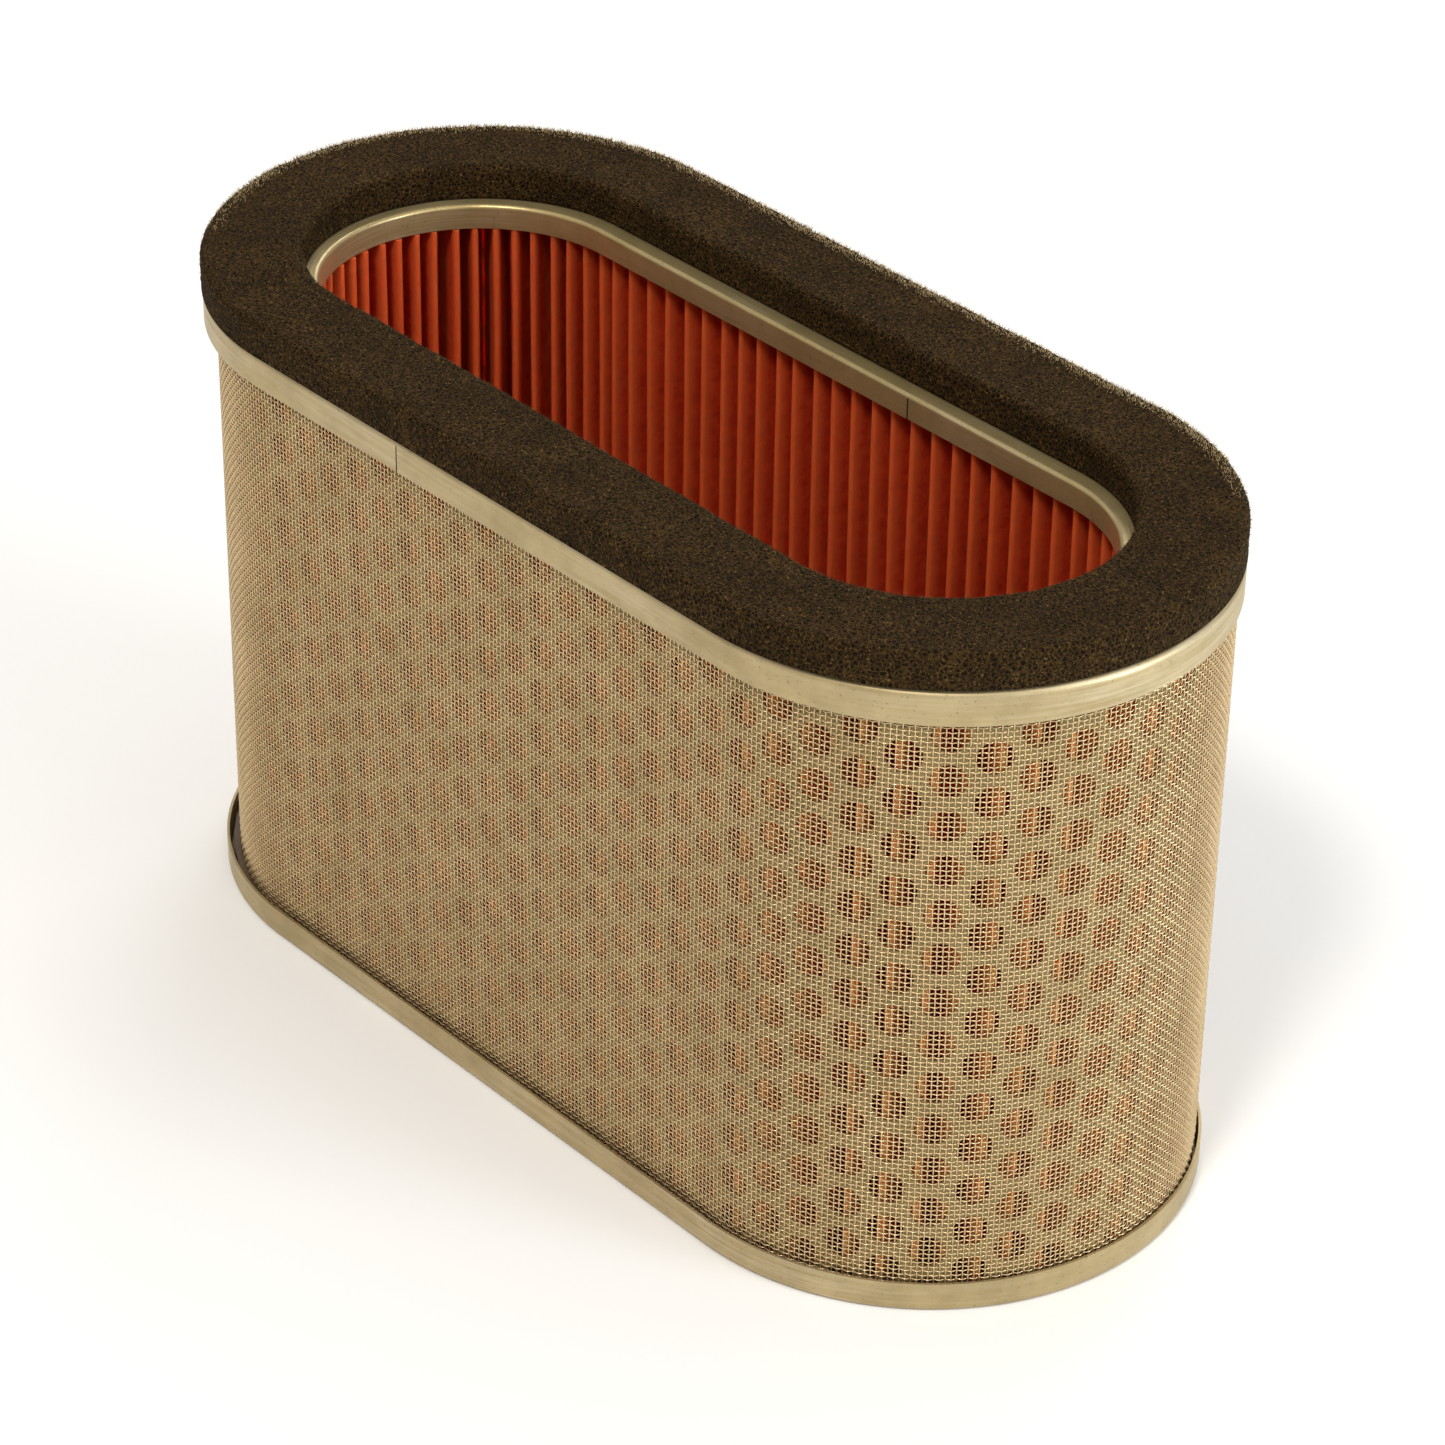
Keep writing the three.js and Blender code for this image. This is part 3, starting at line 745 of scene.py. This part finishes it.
def pleated_paper(material):
    """One strip folded to and fro, stacked up over the height of the drum."""
    track = Track("perforated_shell")
    low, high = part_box("pleated_media")
    outer, inner = high.y - PAPER / 2, high.y - PLEAT_DEPTH + PAPER / 2
    z = np.linspace(low.z, high.z, PAPER_LEVELS)
    path, fold = Pleats(track, z, inner, outer).strip()
    loop = thickened(path)
    rows, columns = loop.shape[:2]
    height = np.broadcast_to(z[:, None, None], (rows, columns, 1))
    points = np.concatenate([loop, height], -1)
    side = np.arange(columns // 2 - 1)
    far = columns - 1 - side
    lid = np.stack([far, far - 1, side + 1, side], -1) + (rows - 1) * columns
    base = np.stack([side, side + 1, far - 1, far], -1)
    piece = make_piece("pleated_paper", points, [
        grid_faces(rows, columns, wrap_columns=True), lid, base],
        material, "pleated_media", crease=60)
    write_attribute(piece, "fold", np.tile(np.concatenate([fold, fold[::-1]]), rows))
    beyond = np.clip(np.abs(loop[..., 0] - track.shift) - track.half, 0, None)
    outside = (np.hypot(beyond, loop[..., 1]) - inner) / (outer - inner)
    write_attribute(piece, "outside", outside.ravel())


# ---- foam gasket ----------------------------------------------------------------------------------


def foam_section(track, inside):
    """Section of the foam, anticlockwise from its inner lower edge, at the foam's grain. Its
    underside, which is glued down, is coarser."""
    r = FOAM_ROUNDING
    steps = round(math.pi / 2 * r / FOAM_GRAIN)
    corners = [(inside, track.bottom), (track.outside, track.bottom)]
    corners += quarter(track.outside - r, track.top - r, r, 0, 90, steps)
    corners += quarter(inside + r, track.top - r, r, 90, 180, steps)
    corners = np.array(corners + corners[:1])
    section = []
    for begin, end in zip(corners, corners[1:]):
        hidden = end[1] == begin[1] == track.bottom
        grain = 4 * FOAM_GRAIN if hidden else FOAM_GRAIN
        count = max(round(math.dist(begin, end) / grain), 1)
        section.append(begin + (end - begin) * np.arange(count)[:, None] / count)
    return np.concatenate(section)


def foam_ring(material):
    """The foam, cut from sheet: rough with open cells, and a little wavy along its edges."""
    random = np.random.default_rng(3)
    track = Track("foam_gasket")
    inside = track.outside - FOAM_WIDTH
    section = foam_section(track, inside)
    along = np.roll(section, -1, 0) - np.roll(section, 1, 0)
    normal = np.stack([along[:, 1], -along[:, 0]], -1)
    normal /= np.linalg.norm(normal, axis=-1, keepdims=True)
    count = round(track.length / FOAM_GRAIN)
    s = np.arange(count) * track.length / count
    turn = s * math.tau / track.length
    wave = sum(random.uniform(0.3, 1) * np.sin(n * turn + random.uniform(0, math.tau))
               for n in (5, 8, 13, 21, 34))
    pores = random.normal(0, 1, (count, len(section)))
    free = np.clip((section[:, 1] - track.bottom) / (0.5 * MM), 0, 1)
    push = np.clip(pores, -2, 2) * FOAM_PORE + wave[:, None] * FOAM_WAVE - FOAM_TRIM
    push *= free
    radius = section[:, 0] + push * normal[:, 0]
    height = section[:, 1] + push * normal[:, 1]
    piece = make_piece("foam_ring", track.place(s[:, None], radius, height), [
        grid_faces(count, len(section), wrap_rows=True, wrap_columns=True)],
        material, "foam_gasket", crease=None)


def rooted(track, s, centre, angle, depth, drop=0.0):
    """Points at some depth under the foam's rounded edge, at an angle round the rounding."""
    size = FOAM_ROUNDING - depth
    height = track.top - FOAM_ROUNDING + size * np.sin(angle) - drop
    return s, centre + size * np.cos(angle), height


def leaning(root, tilt, reach, drift):
    """The tips of struts of some length that stand at the roots and lean along the track too."""
    s, radius, height = root
    return s + drift, radius + reach * np.cos(tilt), height + reach * np.sin(tilt)


def struts(name, track, root, tip, thickness, material):
    """Short three-sided struts between arrays of (place, radius, height)."""
    start, stop = track.place(*root), track.place(*tip)
    axis = stop - start
    axis /= np.linalg.norm(axis, axis=-1, keepdims=True)
    side = np.cross(axis, ASKEW)
    side /= np.linalg.norm(side, axis=-1, keepdims=True)
    other = np.cross(axis, side)
    rings = []
    for end, size in zip((start, stop), thickness):
        for corner in np.arange(3) * math.tau / 3:
            rings.append(end + size / 2 * (side * math.cos(corner) + other * math.sin(corner)))
    quads = np.array([[0, 1, 4, 3], [1, 2, 5, 4], [2, 0, 3, 5]])
    ends = np.array([[2, 1, 0], [3, 4, 5]])
    step = (np.arange(len(start)) * 6)[:, None, None]
    piece = make_piece(name, np.stack(rings, 1), [
        (quads + step).reshape(-1, 4), (ends + step).reshape(-1, 3)],
        material, "foam_gasket", crease=None)
    write_attribute(piece, "tip", np.tile([0, 0, 0, 1, 1, 1], len(start)))


def foam_fringe(material):
    """Cut cell walls that stand out of the foam's edges."""
    random = np.random.default_rng(7)
    track = Track("foam_gasket")
    inside = track.outside - FOAM_WIDTH
    outer = random.random(CUT_CELLS) < 0.6
    angle = np.radians(random.uniform(-25, 100, CUT_CELLS))
    drop = np.where(angle < 0, random.uniform(0, 4.5, CUT_CELLS), 0) * MM
    angle = np.where(outer, angle, math.pi - angle)
    centre = np.where(outer, track.outside - FOAM_ROUNDING, inside + FOAM_ROUNDING)
    s = random.uniform(0, track.length, CUT_CELLS)
    reach = random.uniform(0.05, 0.42, CUT_CELLS) * MM + CUT_DEPTH
    tilt = angle + random.normal(0, 0.5, CUT_CELLS)
    root = rooted(track, s, centre, angle, CUT_DEPTH, drop)
    drift = random.normal(0, 0.35, CUT_CELLS) * MM
    struts("foam_cut_cells", track, root, leaning(root, tilt, reach, drift),
           (0.09 * MM, 0.04 * MM), material)


def foam_nap(material):
    """A fine nap whose pale tips are painted backlight, on the outer edge and thinning out over the
    top, round the rear left side.
    """
    random = np.random.default_rng(29)
    track = Track("foam_gasket")
    s = random.uniform(0, track.length, NAP_TRIES)
    _, faces = track.centre_and_angle(np.mod(s + track.half, track.length), track.knots)
    s = s[random.random(len(s)) < 2 * np.cos(faces - math.radians(NAP_FACES))]
    inset = np.clip(random.normal(0.2, 0.8, len(s)), 0, None) * MM
    angle = np.radians(np.where(inset > 0, 90, random.uniform(35, 90, len(s))))
    tilt = angle + random.normal(0, 0.6, len(s))
    reach = random.uniform(0.1, 0.42, len(s)) * MM + np.where(inset > 0, 0, 0.3 * MM) + NAP_DEPTH
    root = rooted(track, s, track.outside - FOAM_ROUNDING - inset, angle, NAP_DEPTH)
    drift = random.normal(0, 0.25, len(s)) * MM
    struts("foam_pale_nap", track, root, leaning(root, tilt, reach, drift),
           (0.1 * MM, 0.05 * MM), material)


# ---- seams ----------------------------------------------------------------------------------------


def seam_bead(name, node, width, material):
    """A lumpy bead of solder or weld over an upright seam on the rear side."""
    low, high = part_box(node)
    random = np.random.default_rng(17)
    z = np.arange(low.z, high.z, BEAD_STEP)
    angle = np.arange(BEAD_SIDES) * math.tau / BEAD_SIDES
    lumps = 1 + 0.12 * np.sin(z / (1.1 * MM)) + random.normal(0, 0.05, len(z))
    half, thick = width / 2 * lumps[:, None], (high.y - low.y) / 2 * (0.9 + 0.1 * lumps[:, None])
    x = (low.x + high.x) / 2 - half * np.cos(angle)
    y = (low.y + high.y) / 2 + thick * np.sin(angle)
    points = np.stack(np.broadcast_arrays(x, y, z[:, None]), -1)
    first = np.arange(BEAD_SIDES)[None]
    last = first[:, ::-1] + (len(z) - 1) * BEAD_SIDES
    make_piece(name, points, [grid_faces(len(z), BEAD_SIDES, wrap_columns=True), first, last],
               material, node)


# ---- stage ----------------------------------------------------------------------------------------


def towards(azimuth, elevation):
    """The direction from the filter to something that stands round it. Azimuth 0 is in front of it
    and 90 at its right end. The angles are in degrees."""
    a, e = math.radians(azimuth), math.radians(elevation)
    return Vector((math.sin(a) * math.cos(e), -math.cos(a) * math.cos(e), math.sin(e)))


def camera():
    """The photo's own view, from a fit to the outlines of the foam, the caps and the drum."""
    back = towards(48.905, 31.995)
    roll = math.radians(0.723)
    aim = Vector((0.75, -1.73, 57.27)) * MM
    distance = 873.49  # mm
    data = bpy.data.cameras.new("camera")
    data.lens = 120.04
    data.shift_x, data.shift_y = 0.0214, 0.0039
    data.clip_start, data.clip_end = 0.05, 50
    view = bpy.data.objects.new("camera", data)
    view.rotation_mode = "QUATERNION"
    view.rotation_quaternion = back.to_track_quat("Z", "Y") @ Quaternion((0, 0, 1), roll)
    view.location = aim + back * distance * MM
    bpy.context.scene.collection.objects.link(view)
    bpy.context.scene.camera = view


def area_light(name, azimuth, elevation, distance, size, power, colour):
    """A round light that faces the middle of the filter."""
    middle = Vector((0, 0, 0.06))
    data = bpy.data.lights.new(name, "AREA")
    data.shape = "DISK"
    data.size = size
    data.energy = power
    data.color = colour
    back = towards(azimuth, elevation)
    light = bpy.data.objects.new(name, data)
    light.rotation_mode = "QUATERNION"
    light.rotation_quaternion = back.to_track_quat("Z", "Y")
    light.location = middle + back * distance
    bpy.context.scene.collection.objects.link(light)


def studio():
    """Four soft lights and an even surrounding glow."""
    # name, azimuth, elevation, distance in metres, diameter, power in watts, colour
    area_light("key", 28, 55, 1.6, 0.3, 11.5, (1.0, 0.95, 0.88))
    area_light("fill", 105, 30, 1.8, 1.2, 9, (0.97, 0.98, 1.0))
    area_light("low", 112, 8, 1.5, 0.5, 9, (0.80, 0.92, 1.0))
    area_light("back", 210, 40, 1.8, 1.0, 8, (1.0, 0.98, 0.95))
    world = bpy.data.worlds.new("studio")
    bpy.context.scene.world = world
    world.use_nodes = True
    background = world.node_tree.nodes["Background"]
    background.inputs["Color"].default_value = (1.0, 0.985, 0.96, 1)
    background.inputs["Strength"].default_value = 0.66
    bpy.context.scene.view_settings.view_transform = "Standard"


def floor():
    """A wide disc just under the base."""
    radius, sides = 3, 96
    mesh = bpy.data.meshes.new("floor")
    angle = np.arange(sides) * math.tau / sides
    rim = np.stack([radius * np.cos(angle), radius * np.sin(angle), 0 * angle], -1)
    mesh.from_pydata(rim.tolist(), [], [list(range(sides))])
    mesh.materials.append(pale_floor())
    ground = bpy.data.objects.new("floor", mesh)
    bpy.context.scene.collection.objects.link(ground)
    ground.location.z = -0.05 * MM


# ---- the filter -----------------------------------------------------------------------------------

STEEL_LIGHT, STEEL_DARK = (0.49, 0.385, 0.205), (0.375, 0.29, 0.145)
OILY_LIGHT, OILY_DARK = (0.50, 0.385, 0.175), (0.38, 0.29, 0.12)

along_strip = {"stretch": (0.04, 1, 1), "attribute": "strip"}
band_steel = cap_steel("band_steel", STEEL_LIGHT, STEEL_DARK, **along_strip)
plate_steel = cap_steel("plate_steel", STEEL_LIGHT, STEEL_DARK, stretch=(0.05, 1, 1))
collar_steel = cap_steel(
    "collar_steel", OILY_LIGHT, OILY_DARK, metallic=0.68, gloss=0.12, **along_strip)
wire = wire_steel()
punched_steel = shell_steel()
potting = compound("potting", (0.14, 0.085, 0.045), (0.07, 0.04, 0.02))
glue = compound("gasket_glue", (0.20, 0.15, 0.09), (0.12, 0.09, 0.05))

camera()
studio()
floor()

carried_over = {
    "bottom_plate": plate_steel,
    "top_plate": plate_steel,
    "media_seam_clip": punched_steel,
    "bottom_potting": potting,
    "top_potting": potting,
    "gasket_adhesive": glue,
}
for node, material in carried_over.items():
    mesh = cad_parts[node].data
    mesh.materials.clear()
    mesh.materials.append(material)

top_outer_band(band_steel)
collar(collar_steel)
bottom_band(band_steel)
wire_screen(wire)
perforated_shell(punched_steel)
seam_bead("shell_weld", "shell_seam_weld", 2.0 * MM, punched_steel)
seam_bead("screen_solder", "screen_seam_solder", 3.0 * MM, plate_steel)
pleated_paper(red_paper())
foam_ring(open_foam("foam", (0.0075, 0.004, 0.0014), (0.055, 0.030, 0.008), (0.20, 0.12, 0.034)))
# The struts at the foam's edges get a paler copy of the foam's colours: painted backlight along its
# outline.
foam_fringe(open_foam("foam_edge_painted_backlight", (0.05, 0.032, 0.013), (0.13, 0.09, 0.04), (0.4, 0.3, 0.15)))
foam_nap(painted_backlight_nap())
